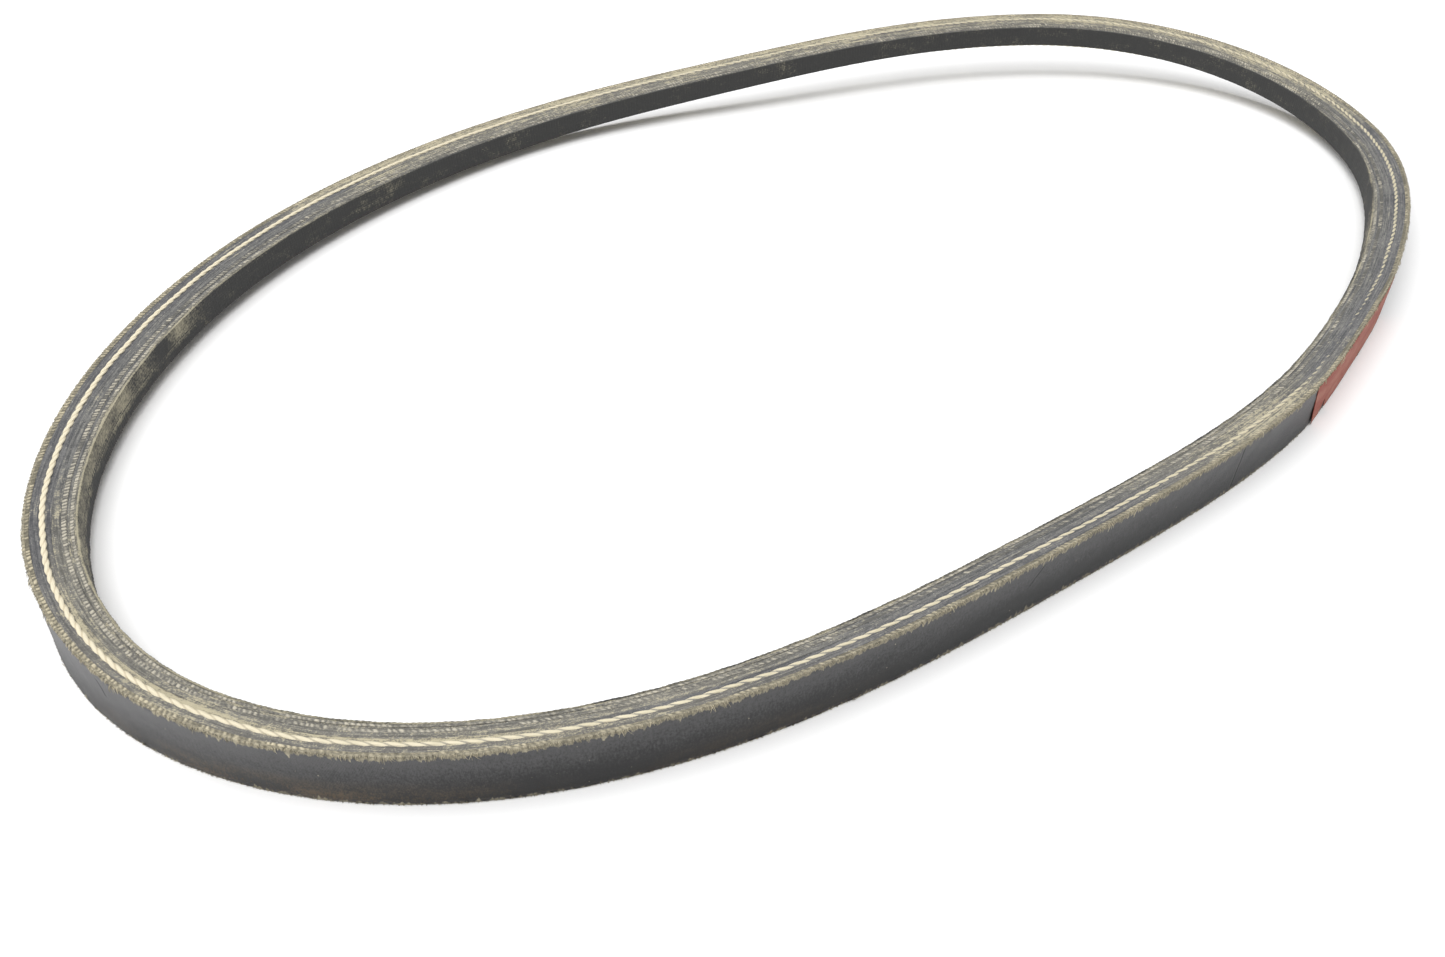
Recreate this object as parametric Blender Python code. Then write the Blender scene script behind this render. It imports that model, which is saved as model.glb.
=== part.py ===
"""Raw-edge laminated V-belt, lying on its side as a free loop.

The belt is cut from a cured sleeve, so all its layers share one closed path and one pair of sloping
flanks. The path runs along the middle of the belt's back, and each layer is a flat section swept
round it, placed by its depth below the back. The tensile cord is one helical winding between two
rubber layers, cut off where it comes out through the flanks. Everything is swept level, and then
one stretch of the loop is sprung up off the table.
Units are metres, +Z is up, the table is at Z = 0 and the loop's long way lies along X.
"""

import math

import bmesh
import bpy
import numpy as np
from mathutils import Vector
from mathutils.kdtree import KDTree

MM = 0.001

# The belt's size. Its length is measured round the outside of the back.
OUTSIDE_LENGTH = 1185 * MM
TOP_WIDTH = 13 * MM
FLANK_ANGLE = math.radians(17.5)

# Thickness of each layer, from the back of the belt to its inner face.
OUTER_COVER_PLY = 0.5 * MM
INNER_COVER_PLY = 0.6 * MM
TENSION_RUBBER = 1.5 * MM
CORD_DIAMETER = 1.3 * MM
ADHESION_RUBBER = 0.9 * MM
UPPER_COMPRESSION_RUBBER = 1.7 * MM
UPPER_STIFFENER_PLY = 0.8 * MM
MIDDLE_COMPRESSION_RUBBER = 0.65 * MM
LOWER_STIFFENER_PLY = 0.55 * MM
LOWER_COMPRESSION_RUBBER = 0.3 * MM
BASE_FABRIC = 0.4 * MM
BOND_CLEARANCE = 0.05 * MM

# The winding of the tensile cord. Its ends stop where the flank has cut away most of its thickness.
CORD_TURN_GAP = 0.45 * MM
CORD_CUT_SHARE = 0.55
CORD_END_ANGLE = math.radians(287)

# A plain label on the back.
LABEL_LENGTH = 70 * MM
LABEL_THICKNESS = 0.12 * MM
LABEL_EDGE_MARGIN = 0.3 * MM
LABEL_START_ANGLE = math.radians(281.3)

# How the loop lies: waves on a circle, with their number, their share of the mean radius and the
# angle of one crest. One stretch of the loop is sprung up off the table.
LAY_WAVES = (
    (2, 0.237, math.radians(0)),
    (3, 0.0339, math.radians(-16.5)),
    (4, 0.0486, math.radians(4.8)),
    (5, 0.0124, math.radians(-6)),
    (6, 0.0041, math.radians(9.6)),
    (7, 0.002, math.radians(-7.3)),
)
LIFT_HEIGHT = 10.2 * MM
LIFT_CENTRE_ANGLE = math.radians(20)
LIFT_SPAN_AHEAD = math.radians(84)
LIFT_SPAN_BEHIND = math.radians(40)

# Fineness of the sweeps.
STATIONS = 72
LAY_SAMPLES = 7200
CORD_BEVEL_RESOLUTION = 1
CORD_SHARP_ANGLE = math.radians(65)
WELD_DISTANCE = 0.001 * MM


def lay_radius(angle):
    """Radius of the loop's lay at an angle, for a mean radius of one."""
    radius = np.ones_like(angle)
    for waves, share, crest in LAY_WAVES:
        radius = radius + share * np.cos(waves * (angle - crest))
    return radius


def lay_stations():
    """Angles and points of the stations on the belt's back, closer together where it bends more."""
    angle = np.linspace(0, math.tau, LAY_SAMPLES + 1)
    radius = lay_radius(angle)
    outline = np.stack([radius * np.cos(angle), radius * np.sin(angle)], axis=1)
    steps = np.diff(outline, axis=0)
    run = np.hypot(steps[:, 0], steps[:, 1])
    outline *= OUTSIDE_LENGTH / run.sum()

    heading = np.unwrap(np.arctan2(steps[:, 1], steps[:, 0]))
    turn = np.abs(np.diff(heading, append=heading[0] + math.tau))
    progress = np.concatenate([[0], np.cumsum(run / run.sum() + turn / turn.sum())])
    marks = np.arange(STATIONS) / STATIONS * progress[-1]
    station_angle = np.interp(marks, progress, angle)
    x = np.interp(station_angle, angle, outline[:, 0])
    y = np.interp(station_angle, angle, outline[:, 1])
    z = np.full(STATIONS, TOP_WIDTH / 2)
    return station_angle, np.stack([x, y, z], axis=1)


def outward_normals(points):
    """Level unit vectors out of the loop at each point of the closed path."""
    before = points - np.roll(points, 1, axis=0)
    after = np.roll(points, -1, axis=0) - points
    along = (before / np.linalg.norm(before, axis=1, keepdims=True)
             + after / np.linalg.norm(after, axis=1, keepdims=True))
    out = np.stack([along[:, 1], -along[:, 0], along[:, 2]], axis=1)
    return out / np.linalg.norm(out, axis=1, keepdims=True)


def lay_lift(points):
    """Height of the belt off the table at points round the loop."""
    angle = np.arctan2(points[:, 1], points[:, 0])
    away = (angle - LIFT_CENTRE_ANGLE + math.pi) % math.tau - math.pi
    share = np.where(away > 0, away / LIFT_SPAN_AHEAD, -away / LIFT_SPAN_BEHIND)
    return LIFT_HEIGHT * (0.5 + 0.5 * np.cos(math.pi * np.clip(share, 0, 1)))


def half_width(depth):
    """Half of the belt's width between its flanks at a depth below its back."""
    return TOP_WIDTH / 2 - depth * math.tan(FLANK_ANGLE)


def make_material(name, colour, roughness):
    material = bpy.data.materials.new(name)
    material.use_nodes = True
    shader = material.node_tree.nodes["Principled BSDF"]
    shader.inputs["Base Color"].default_value = (*colour, 1)
    shader.inputs["Roughness"].default_value = roughness
    shader.inputs["Metallic"].default_value = 0
    return material


def poly_curve(name, points, closed):
    """A curve of straight runs between points, whose section stays upright."""
    curve = bpy.data.curves.new(name, "CURVE")
    curve.dimensions = "3D"
    curve.twist_mode = "Z_UP"
    curve.use_fill_caps = not closed
    spline = curve.splines.new("POLY")
    spline.points.add(len(points) - 1)
    for spline_point, point in zip(spline.points, points):
        spline_point.co = (*point, 1)
    spline.use_cyclic_u = closed
    return curve


def section_guide(name, top, bottom, top_half, bottom_half):
    """The flat outline of a layer between two depths, with its half widths there."""
    corners = (
        (-top, -top_half, 0),
        (-bottom, -bottom_half, 0),
        (-bottom, bottom_half, 0),
        (-top, top_half, 0),
    )
    outline = poly_curve(name, corners, closed=True)
    outline.dimensions = "2D"
    guide = bpy.data.objects.new(name, outline)
    guide.hide_render = True
    guide.display_type = "WIRE"
    guides.objects.link(guide)
    return guide


def curve_to_mesh(curve):
    """The swept curve as one welded mesh."""
    swept = bpy.data.objects.new(curve.name, curve)
    belt.objects.link(swept)
    mesh = bpy.data.meshes.new_from_object(swept.evaluated_get(bpy.context.evaluated_depsgraph_get()))
    bpy.data.objects.remove(swept, do_unlink=True)
    weld = bmesh.new()
    weld.from_mesh(mesh)
    bmesh.ops.remove_doubles(weld, verts=weld.verts, dist=WELD_DISTANCE)
    weld.to_mesh(mesh)
    weld.free()
    return mesh


def place_piece(name, mesh, material):
    """Spring the level piece up with the rest of the loop and set it over the origin."""
    points = np.empty(len(mesh.vertices) * 3)
    mesh.vertices.foreach_get("co", points)
    points = points.reshape(-1, 3)
    points[:, 2] += lay_lift(points)
    points[:, :2] -= loop_centre
    mesh.vertices.foreach_set("co", points.ravel())
    mesh.materials.clear()
    mesh.materials.append(material)
    belt.objects.link(bpy.data.objects.new(name, mesh))


def sweep_layer(name, points, closed, section, material):
    curve = poly_curve(name, points, closed)
    curve.bevel_mode = "OBJECT"
    curve.bevel_object = section
    place_piece(name, curve_to_mesh(curve), material)


for old_object in list(bpy.data.objects):
    bpy.data.objects.remove(old_object, do_unlink=True)

belt = bpy.data.collections.new("v_belt")
guides = bpy.data.collections.new("v_belt_guides")
bpy.context.scene.collection.children.link(belt)
bpy.context.scene.collection.children.link(guides)

angles, path = lay_stations()
outs = outward_normals(path)
loop_centre = (path[:, :2].min(axis=0) + path[:, :2].max(axis=0)) / 2

cover_fabric = make_material("cover fabric", (0.045, 0.043, 0.042), 0.85)
cover_yarn = make_material("cover fabric yarn", (0.36, 0.29, 0.2), 0.9)
black_rubber = make_material("black rubber", (0.02, 0.02, 0.021), 0.6)
grey_rubber = make_material("grey rubber", (0.075, 0.072, 0.068), 0.7)
polyester_cord = make_material("polyester cord", (0.66, 0.58, 0.44), 0.8)
ply_fabric = make_material("stiffener fabric", (0.24, 0.2, 0.15), 0.9)
base_cloth = make_material("base fabric", (0.06, 0.055, 0.048), 0.9)
label_paint = make_material("label", (0.45, 0.08, 0.08), 0.5)

# The layers, stacked from the back of the belt towards its inner face.
stack = (
    ("outer_cover_ply", OUTER_COVER_PLY, cover_fabric),
    ("inner_cover_ply", INNER_COVER_PLY, cover_yarn),
    ("tension_rubber", TENSION_RUBBER, black_rubber),
    ("tensile_cord", CORD_DIAMETER, polyester_cord),
    ("adhesion_rubber", ADHESION_RUBBER, black_rubber),
    ("upper_compression_rubber", UPPER_COMPRESSION_RUBBER, grey_rubber),
    ("upper_stiffener_ply", UPPER_STIFFENER_PLY, ply_fabric),
    ("middle_compression_rubber", MIDDLE_COMPRESSION_RUBBER, grey_rubber),
    ("lower_stiffener_ply", LOWER_STIFFENER_PLY, ply_fabric),
    ("lower_compression_rubber", LOWER_COMPRESSION_RUBBER, grey_rubber),
    ("base_fabric", BASE_FABRIC, base_cloth),
)
top = 0
cord_depth = 0
for layer, thickness, material in stack:
    bottom = top + thickness
    if layer == "tensile_cord":
        cord_depth = (top + bottom) / 2
    else:
        section = section_guide(layer + "_section", top, bottom, half_width(top), half_width(bottom))
        sweep_layer(layer, path, True, section, material)
    top = bottom + BOND_CLEARANCE

# The tensile cord: one right-handed helix up through the belt's width, laid on the path's stations.
cord_radius = CORD_DIAMETER / 2
cord_pitch = CORD_DIAMETER + CORD_TURN_GAP
cord_travel = 2 * (half_width(cord_depth) + CORD_CUT_SHARE * cord_radius)
cord_steps = math.floor(cord_travel / cord_pitch * STATIONS)
cord_count = np.arange(cord_steps + 1)
cord_end = int(np.argmin(np.abs(angles - CORD_END_ANGLE)))
cord_stations = (cord_end - cord_steps + cord_count) % STATIONS
cord_path = path[cord_stations] - cord_depth * outs[cord_stations]
cord_path[:, 2] += (cord_count - cord_steps / 2) * cord_pitch / STATIONS

cord_curve = poly_curve("tensile_cord", cord_path, closed=False)
cord_curve.bevel_depth = cord_radius
cord_curve.bevel_resolution = CORD_BEVEL_RESOLUTION
cord_mesh = curve_to_mesh(cord_curve)

# The flanks cut the winding: what stands out of them is brought back to their slope.
cord_tree = KDTree(len(cord_path))
for number, point in enumerate(cord_path):
    cord_tree.insert(point, number)
cord_tree.balance()
for vertex in cord_mesh.vertices:
    station = cord_stations[cord_tree.find(vertex.co)[1]]
    arm = vertex.co - Vector(path[station])
    limit = half_width(-arm.dot(Vector(outs[station])))
    vertex.co.z = path[station][2] + max(-limit, min(limit, arm.z))
cord_mesh.shade_smooth()
cord_mesh.set_sharp_from_angle(angle=CORD_SHARP_ANGLE)
place_piece("tensile_cord", cord_mesh, polyester_cord)

between = np.linalg.norm(cord_path[:, None] - cord_path[None, :], axis=2)
other_turn = np.abs(cord_count[:, None] - cord_count[None, :]) > STATIONS / 2
least_gap = between[other_turn].min() - CORD_DIAMETER
print(f"Tensile cord: {cord_steps / STATIONS:.2f} turns, least gap to itself {least_gap / MM:.3f} mm")

# The label, stuck flat on the back.
closed_path = np.vstack([path, path[:1]])
run = np.concatenate([[0], np.cumsum(np.linalg.norm(np.diff(closed_path, axis=0), axis=1))])
label_start = np.interp(LABEL_START_ANGLE, angles, run[:-1])
label_end = label_start + LABEL_LENGTH
marks = np.concatenate([run[:-1], run[:-1] + run[-1]])
label_run = np.concatenate([[label_start], marks[(marks > label_start) & (marks < label_end)], [label_end]])
label_path = np.stack([np.interp(label_run % run[-1], run, axis) for axis in closed_path.T], axis=1)
label_half = TOP_WIDTH / 2 - LABEL_EDGE_MARGIN
label_face = -BOND_CLEARANCE - LABEL_THICKNESS
label_section = section_guide("back_label_section", label_face, -BOND_CLEARANCE, label_half, label_half)
sweep_layer("back_label", label_path, False, label_section, label_paint)
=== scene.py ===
import math

import bmesh
import bpy
import numpy as np
from mathutils import Matrix, Vector


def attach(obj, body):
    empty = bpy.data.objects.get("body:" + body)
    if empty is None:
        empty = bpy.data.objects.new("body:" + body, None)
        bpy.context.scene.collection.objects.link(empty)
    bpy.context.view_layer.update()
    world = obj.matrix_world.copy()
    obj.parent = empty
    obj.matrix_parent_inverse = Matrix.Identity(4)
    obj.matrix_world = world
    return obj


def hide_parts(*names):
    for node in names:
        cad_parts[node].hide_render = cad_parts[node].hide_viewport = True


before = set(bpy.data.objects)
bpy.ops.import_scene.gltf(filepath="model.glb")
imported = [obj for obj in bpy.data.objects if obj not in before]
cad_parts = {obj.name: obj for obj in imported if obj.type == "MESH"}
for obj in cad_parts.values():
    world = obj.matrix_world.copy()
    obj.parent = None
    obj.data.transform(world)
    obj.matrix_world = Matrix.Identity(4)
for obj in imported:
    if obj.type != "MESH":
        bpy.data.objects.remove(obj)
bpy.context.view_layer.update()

# Outer cover ply: the smooth dark back of the belt, a ply of cotton cloth cut on the bias and soaked
# in rubber. It is wrapped on last and cured under pressure. The knife that cuts the flanks lays its
# tan threads bare along both edges.

MM = 0.001
LOOP_LENGTH = 1185 * MM
HALF_TOP_WIDTH = 6.5 * MM
THICKNESS = 9.7 * MM
UNEVEN = 0.12 * MM
FLANK_SLOPE = math.tan(math.radians(17.5))

# How the loop lies: waves on a circle, with their number, their share of the radius and one crest.
LAY_WAVES = (
    (2, 0.237, 0),
    (3, 0.0339, -16.5),
    (4, 0.0486, 4.8),
    (5, 0.0124, -6),
    (6, 0.0041, 9.6),
    (7, 0.002, -7.3),
)
LAY_CENTRE = (5.3445 * MM, 3.9029 * MM)
LIFT_HEIGHT = 10.2 * MM
LIFT_CENTRE = math.radians(20)
LIFT_AHEAD = math.radians(84)
LIFT_BEHIND = math.radians(40)

# Where the left bend rolls its back a little upwards, and where the back is pressed in under the
# label: the run, how much and the half length.
LEFT_ROLL = (616.5 * MM, math.radians(6.2), 50 * MM)
LABEL_PRESS = (948 * MM, 1.0 * MM, 42 * MM)


def swell(away, span):
    """1 in the middle of a stretch, and 0 from its half span outwards."""
    return 0.5 + 0.5 * np.cos(math.pi * np.clip(np.abs(away) / span, 0, 1))


lay_angle = np.linspace(0, math.tau, 14401)
lay_radius = np.ones_like(lay_angle)
for waves, share, crest in LAY_WAVES:
    lay_radius += share * np.cos(waves * (lay_angle - math.radians(crest)))
lay_line = np.stack([lay_radius * np.cos(lay_angle), lay_radius * np.sin(lay_angle)], axis=1)
lay_run = np.concatenate([[0], np.cumsum(np.linalg.norm(np.diff(lay_line, axis=0), axis=1))])
lay_line *= LOOP_LENGTH / lay_run[-1]
lay_run *= LOOP_LENGTH / lay_run[-1]
lay_ahead = np.roll(lay_line[:-1], -1, axis=0) - np.roll(lay_line[:-1], 1, axis=0)
lay_ahead = np.vstack([lay_ahead, lay_ahead[:1]])
lay_ahead /= np.linalg.norm(lay_ahead, axis=1, keepdims=True)


def half_width(depth):
    """Half of the belt's width at a depth below its back."""
    return HALF_TOP_WIDTH - depth * FLANK_SLOPE


def ripple(run, across, fewest, most, seed):
    """An uneven height between about -1 and 1 that closes on itself round the loop."""
    chance = np.random.default_rng(seed)
    total = np.zeros_like(run)
    for waves in chance.integers(fewest, most, 10):
        lean = chance.normal(0, 1.2)
        total += np.sin(math.tau * waves * run / LOOP_LENGTH + lean * across / MM + chance.uniform(0, 9))
    return total / 4


def lay_down(run, depth, height):
    """Points of the belt as it lies, from the run round its back, the depth and the height.

    The plies are bedded a little unevenly, most of all half way down.
    """
    run = run % LOOP_LENGTH
    bedded = np.clip(depth / THICKNESS, 0, 1)
    depth = depth + UNEVEN * 4 * bedded * (1 - bedded) * ripple(run, 0, 6, 40, 1)
    middle, press, span = LABEL_PRESS
    depth = depth + press * swell(run - middle, span) * (1 - 0.8 * bedded)
    middle, angle, span = LEFT_ROLL
    roll = angle * swell(run - middle, span)
    depth, height = depth * np.cos(roll) + height * np.sin(roll), height * np.cos(roll) - depth * np.sin(roll)
    ahead_x = np.interp(run, lay_run, lay_ahead[:, 0])
    ahead_y = np.interp(run, lay_run, lay_ahead[:, 1])
    x = np.interp(run, lay_run, lay_line[:, 0]) - depth * ahead_y
    y = np.interp(run, lay_run, lay_line[:, 1]) + depth * ahead_x
    away = (np.arctan2(y, x) - LIFT_CENTRE + math.pi) % math.tau - math.pi
    lift = LIFT_HEIGHT * swell(away, np.where(away > 0, LIFT_AHEAD, LIFT_BEHIND))
    return np.stack([x - LAY_CENTRE[0], y - LAY_CENTRE[1], HALF_TOP_WIDTH + height + lift], axis=1)


def ply_section(top, bottom, flank_cuts, back_cuts, inner_cuts):
    """The closed outline of a ply, as depths and heights, from the middle of its inner side."""
    low = np.linspace(bottom, top, flank_cuts + 1)
    back = np.linspace(-half_width(top), half_width(top), back_cuts + 1)
    inner = np.linspace(0, half_width(bottom), inner_cuts + 1)
    depths = np.concatenate([np.full(inner_cuts, bottom), low[:-1], np.full(back_cuts, top),
                             low[::-1], np.full(inner_cuts, bottom)])
    heights = np.concatenate([-inner[:-1], -half_width(low[:-1]), back[:-1],
                              half_width(low[::-1]), inner[::-1][1:]])
    return depths, heights


def wrap_ply(name, stations, section, relief):
    """A flat strip of squares, wrapped round the loop and closed into one ring of the section."""
    depths, heights = section
    girth = np.concatenate([[0], np.cumsum(np.hypot(np.diff(depths), np.diff(heights)))])
    girth -= girth[-1] / 2
    strip = bmesh.new()
    bmesh.ops.create_grid(strip, x_segments=stations, y_segments=len(depths) - 1, size=0.5)
    mesh = bpy.data.meshes.new(name)
    strip.to_mesh(mesh)
    flat = np.empty(len(mesh.vertices) * 3)
    mesh.vertices.foreach_get("co", flat)
    flat = flat.reshape(-1, 3) + 0.5
    run = np.rint(flat[:, 0] * stations) / stations * LOOP_LENGTH
    place = np.rint(flat[:, 1] * (len(depths) - 1)).astype(int)
    corner = np.empty(len(mesh.loops), dtype=np.int32)
    mesh.loops.foreach_get("vertex_index", corner)
    lay = np.stack([run, girth[place]], axis=1).astype(np.float32)
    mesh.uv_layers.new(name="lay").data.foreach_set("uv", lay[corner].ravel())
    turn = math.tau * run / LOOP_LENGTH
    reach = LOOP_LENGTH / math.tau
    drum = np.stack([reach * np.cos(turn), reach * np.sin(turn), girth[place]], axis=1) / MM
    drum_mark = mesh.attributes.new("drum", "FLOAT_VECTOR", "POINT")
    drum_mark.data.foreach_set("vector", drum.astype(np.float32).ravel())
    deeper, higher, stand = relief(run % LOOP_LENGTH, depths[place], heights[place], girth[place])
    mesh.attributes.new("stand", "FLOAT", "POINT").data.foreach_set("value", stand.astype(np.float32))
    points = lay_down(run, depths[place] + deeper, heights[place] + higher)
    mesh.vertices.foreach_set("co", points.ravel())
    strip.clear()
    strip.from_mesh(mesh)
    edge = [vertex for vertex in strip.verts if vertex.is_boundary]
    bmesh.ops.remove_doubles(strip, verts=edge, dist=0.0005 * MM)
    bmesh.ops.recalc_face_normals(strip, faces=strip.faces)
    strip.to_mesh(mesh)
    strip.free()
    mesh.shade_smooth()
    mesh.set_sharp_from_angle(angle=math.radians(70))
    piece = bpy.data.objects.new(name, mesh)
    bpy.context.scene.collection.objects.link(piece)
    return piece


# The cut threads: how many go round, their lean, and the bend where they are least rubbed down.
THREADS = 990
THREAD_LEAN = 520
CLEAN_BEND = (548 * MM, 150 * MM)


def thread_crest(run, girth, start, seed):
    """How far each cut thread stands out, from 0 in the dips to about 1: no two threads are alike."""
    count = run * THREADS / LOOP_LENGTH + girth * THREAD_LEAN + start
    count += 0.2 * ripple(run, girth, 120, 420, seed)
    uneven = np.random.default_rng(seed).uniform(0.2, 1.15, THREADS)
    clean = np.clip(2 * swell(run - CLEAN_BEND[0], CLEAN_BEND[1]), 0, 1)
    rubbed = np.clip(0.5 + 0.4 * clean + 0.4 * ripple(run, girth, 15, 90, seed + 1), 0.15 + 0.5 * clean, 1)
    return (0.5 + 0.5 * np.cos(math.tau * count)) * uneven[np.rint(count).astype(int) % THREADS] * rubbed


def mark_wear_and_sheen(piece, name, soft, plain, stretches):
    """Writes how worn or dusty a piece is round the loop, and also the back's painted sheen: a plain level, and more
    along some stretches.

    A stretch has a start, an end, both in millimetres, and what it adds. Its ends fade over the soft length.
    """
    mesh = piece.data
    drum = np.empty(len(mesh.vertices) * 3, dtype=np.float32)
    mesh.attributes["drum"].data.foreach_get("vector", drum)
    drum = drum.reshape(-1, 3)
    loop = LOOP_LENGTH / MM
    run = np.arctan2(drum[:, 1], drum[:, 0]) / math.tau % 1 * loop
    wear_and_sheen = np.full(len(run), plain, dtype=np.float32)
    for start, end, more in stretches:
        half = (end - start) % loop / 2
        away = np.abs((run - start - half + loop / 2) % loop - loop / 2)
        wear_and_sheen += more * np.clip((half + soft - away) / (2 * soft), 0, 1)
    mesh.attributes.new(name, "FLOAT", "POINT").data.foreach_set("value", wear_and_sheen)


def new_finish(name, roughness, specular):
    finish = bpy.data.materials.new(name)
    finish.use_nodes = True
    shader = finish.node_tree.nodes["Principled BSDF"]
    shader.inputs["Roughness"].default_value = roughness
    shader.inputs["Specular IOR Level"].default_value = specular
    return finish, finish.node_tree, shader


def put(tree, socket, value):
    """Feeds a socket from another socket, or gives it a plain value."""
    if isinstance(value, bpy.types.NodeSocket):
        tree.links.new(value, socket)
    else:
        socket.default_value = value


def sums(tree, operation, *values):
    step = tree.nodes.new("ShaderNodeMath")
    step.operation = operation
    for socket, value in zip(step.inputs, values):
        put(tree, socket, value)
    return step.outputs[0]


def between(tree, value, low, high):
    """0 below low, 1 above high and a smooth step between them."""
    step = tree.nodes.new("ShaderNodeMapRange")
    step.interpolation_type = "SMOOTHSTEP"
    put(tree, step.inputs["Value"], value)
    put(tree, step.inputs["From Min"], low)
    put(tree, step.inputs["From Max"], high)
    return step.outputs["Result"]


def tint(tree, share, first, second):
    mix = tree.nodes.new("ShaderNodeMix")
    mix.data_type = "RGBA"
    put(tree, mix.inputs["Factor"], share)
    put(tree, mix.inputs["A"], first)
    put(tree, mix.inputs["B"], second)
    return mix.outputs["Result"]


def mottle(tree, vector, stretch, detail, roughness):
    """Noise over a stretched place: stretch gives its cells to the millimetre, each way."""
    scaled = tree.nodes.new("ShaderNodeVectorMath")
    scaled.operation = "MULTIPLY"
    put(tree, scaled.inputs[0], vector)
    put(tree, scaled.inputs[1], stretch)
    noise = tree.nodes.new("ShaderNodeTexNoise")
    noise.inputs["Scale"].default_value = 1
    noise.inputs["Detail"].default_value = detail
    noise.inputs["Roughness"].default_value = roughness
    put(tree, noise.inputs["Vector"], scaled.outputs[0])
    return noise.outputs["Fac"]


def read_mark(tree, name):
    mark = tree.nodes.new("ShaderNodeAttribute")
    mark.attribute_name = name
    return mark


def read_lay(tree):
    lay = tree.nodes.new("ShaderNodeUVMap")
    lay.uv_map = "lay"
    return lay.outputs["UV"]


def bump(tree, shader, height, depth):
    relief = tree.nodes.new("ShaderNodeBump")
    relief.inputs["Strength"].default_value = 1
    relief.inputs["Distance"].default_value = depth
    put(tree, relief.inputs["Height"], height)
    put(tree, shader.inputs["Normal"], relief.outputs["Normal"])


def new_effect(name, inputs, outputs):
    """A shader node group with named sockets."""
    group = bpy.data.node_groups.new(name, "ShaderNodeTree")
    for socket, kind in inputs:
        group.interface.new_socket(name=socket, in_out="INPUT", socket_type=kind)
    for socket, kind in outputs:
        group.interface.new_socket(name=socket, in_out="OUTPUT", socket_type=kind)
    start = group.nodes.new("NodeGroupInput")
    end = group.nodes.new("NodeGroupOutput")
    return group, start.outputs, end.inputs


def use_effect(tree, effect, **values):
    node = tree.nodes.new("ShaderNodeGroup")
    node.node_tree = effect
    for name, value in values.items():
        put(tree, node.inputs[name], value)
    return node.outputs


# Bias cloth: two sets of threads that cross under the rubber, shallow and fine.
bias_cloth, given, made = new_effect(
    "bias_cloth",
    (("Lay", "NodeSocketVector"), ("Pitch", "NodeSocketFloat")),
    (("Height", "NodeSocketFloat"),),
)
split = bias_cloth.nodes.new("ShaderNodeSeparateXYZ")
put(bias_cloth, split.inputs[0], given["Lay"])
rate = sums(bias_cloth, "DIVIDE", math.tau, given["Pitch"])
rising = sums(bias_cloth, "MULTIPLY", sums(bias_cloth, "ADD", split.outputs["X"], split.outputs["Y"]), rate)
falling = sums(bias_cloth, "MULTIPLY", sums(bias_cloth, "SUBTRACT", split.outputs["X"], split.outputs["Y"]), rate)
crossing = sums(bias_cloth, "MULTIPLY", sums(bias_cloth, "SINE", rising), sums(bias_cloth, "SINE", falling))
put(bias_cloth, made["Height"], sums(bias_cloth, "MULTIPLY_ADD", crossing, 0.5, 0.5))

# The back's colour is mixed from the dark and the pale colour below. Its mottle and grain set the mix, and so do a
# painted shade towards its lower edge and a painted sheen on the left bend.
BACK_DARK = (0.008, 0.008, 0.0085, 1)
BACK_WORN_AND_LIT = (0.071, 0.07, 0.072, 1)
BACK_BROWN = (0.1, 0.068, 0.035, 1)
THREAD_TAN = (0.56, 0.5, 0.36, 1)
THREAD_DIRTY = (0.14, 0.13, 0.1, 1)

# Nicks and the lap of the cloth: the run, the height of the middle, the lean and half the length.
BACK_NICK = (626.2 * MM, 3.1 * MM, -0.62, 1.9 * MM)
BACK_SCRATCH = (814 * MM, 2.6 * MM, 0.9, 2.4 * MM)
BACK_LAP = (879.5 * MM, 0, 0.1, 6.4 * MM)


def back_relief(run, depth, height, girth):
    near_edge = np.clip((np.abs(height) / MM - 5.5) / 1.0, 0, 1)
    threads = thread_crest(run, girth, 0, 3)
    rounding = 0.22 * np.exp(-depth / (0.1 * MM)) * near_edge ** 8
    uneven = 0.05 * ripple(run, height, 20, 160, 5)
    deeper = (uneven * (depth < 0.01 * MM) - 0.07 * threads * near_edge ** 3) * MM
    higher = np.sign(height) * near_edge ** 3 * (0.13 * threads - rounding) * MM
    return deeper, higher, threads


def slit(tree, lay, start, width):
    """1 along a thin line across the back and 0 away from it."""
    run, middle, lean, half = start
    split = tree.nodes.new("ShaderNodeSeparateXYZ")
    put(tree, split.inputs[0], lay)
    rise = sums(tree, "SUBTRACT", split.outputs["Y"], middle)
    away = sums(tree, "SUBTRACT", split.outputs["X"], sums(tree, "MULTIPLY_ADD", rise, lean, run))
    thin = between(tree, sums(tree, "ABSOLUTE", away), width, 0.3 * width)
    return sums(tree, "MULTIPLY", thin, between(tree, sums(tree, "ABSOLUTE", rise), half, 0.7 * half))


back_cloth = wrap_ply("back_cloth", 3960, ply_section(0, 0.52 * MM, 4, 10, 1), back_relief)
mark_wear_and_sheen(back_cloth, "stain", 20, 0, ((632, 700, 0.9), (735, 765, 0.35)))
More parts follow.
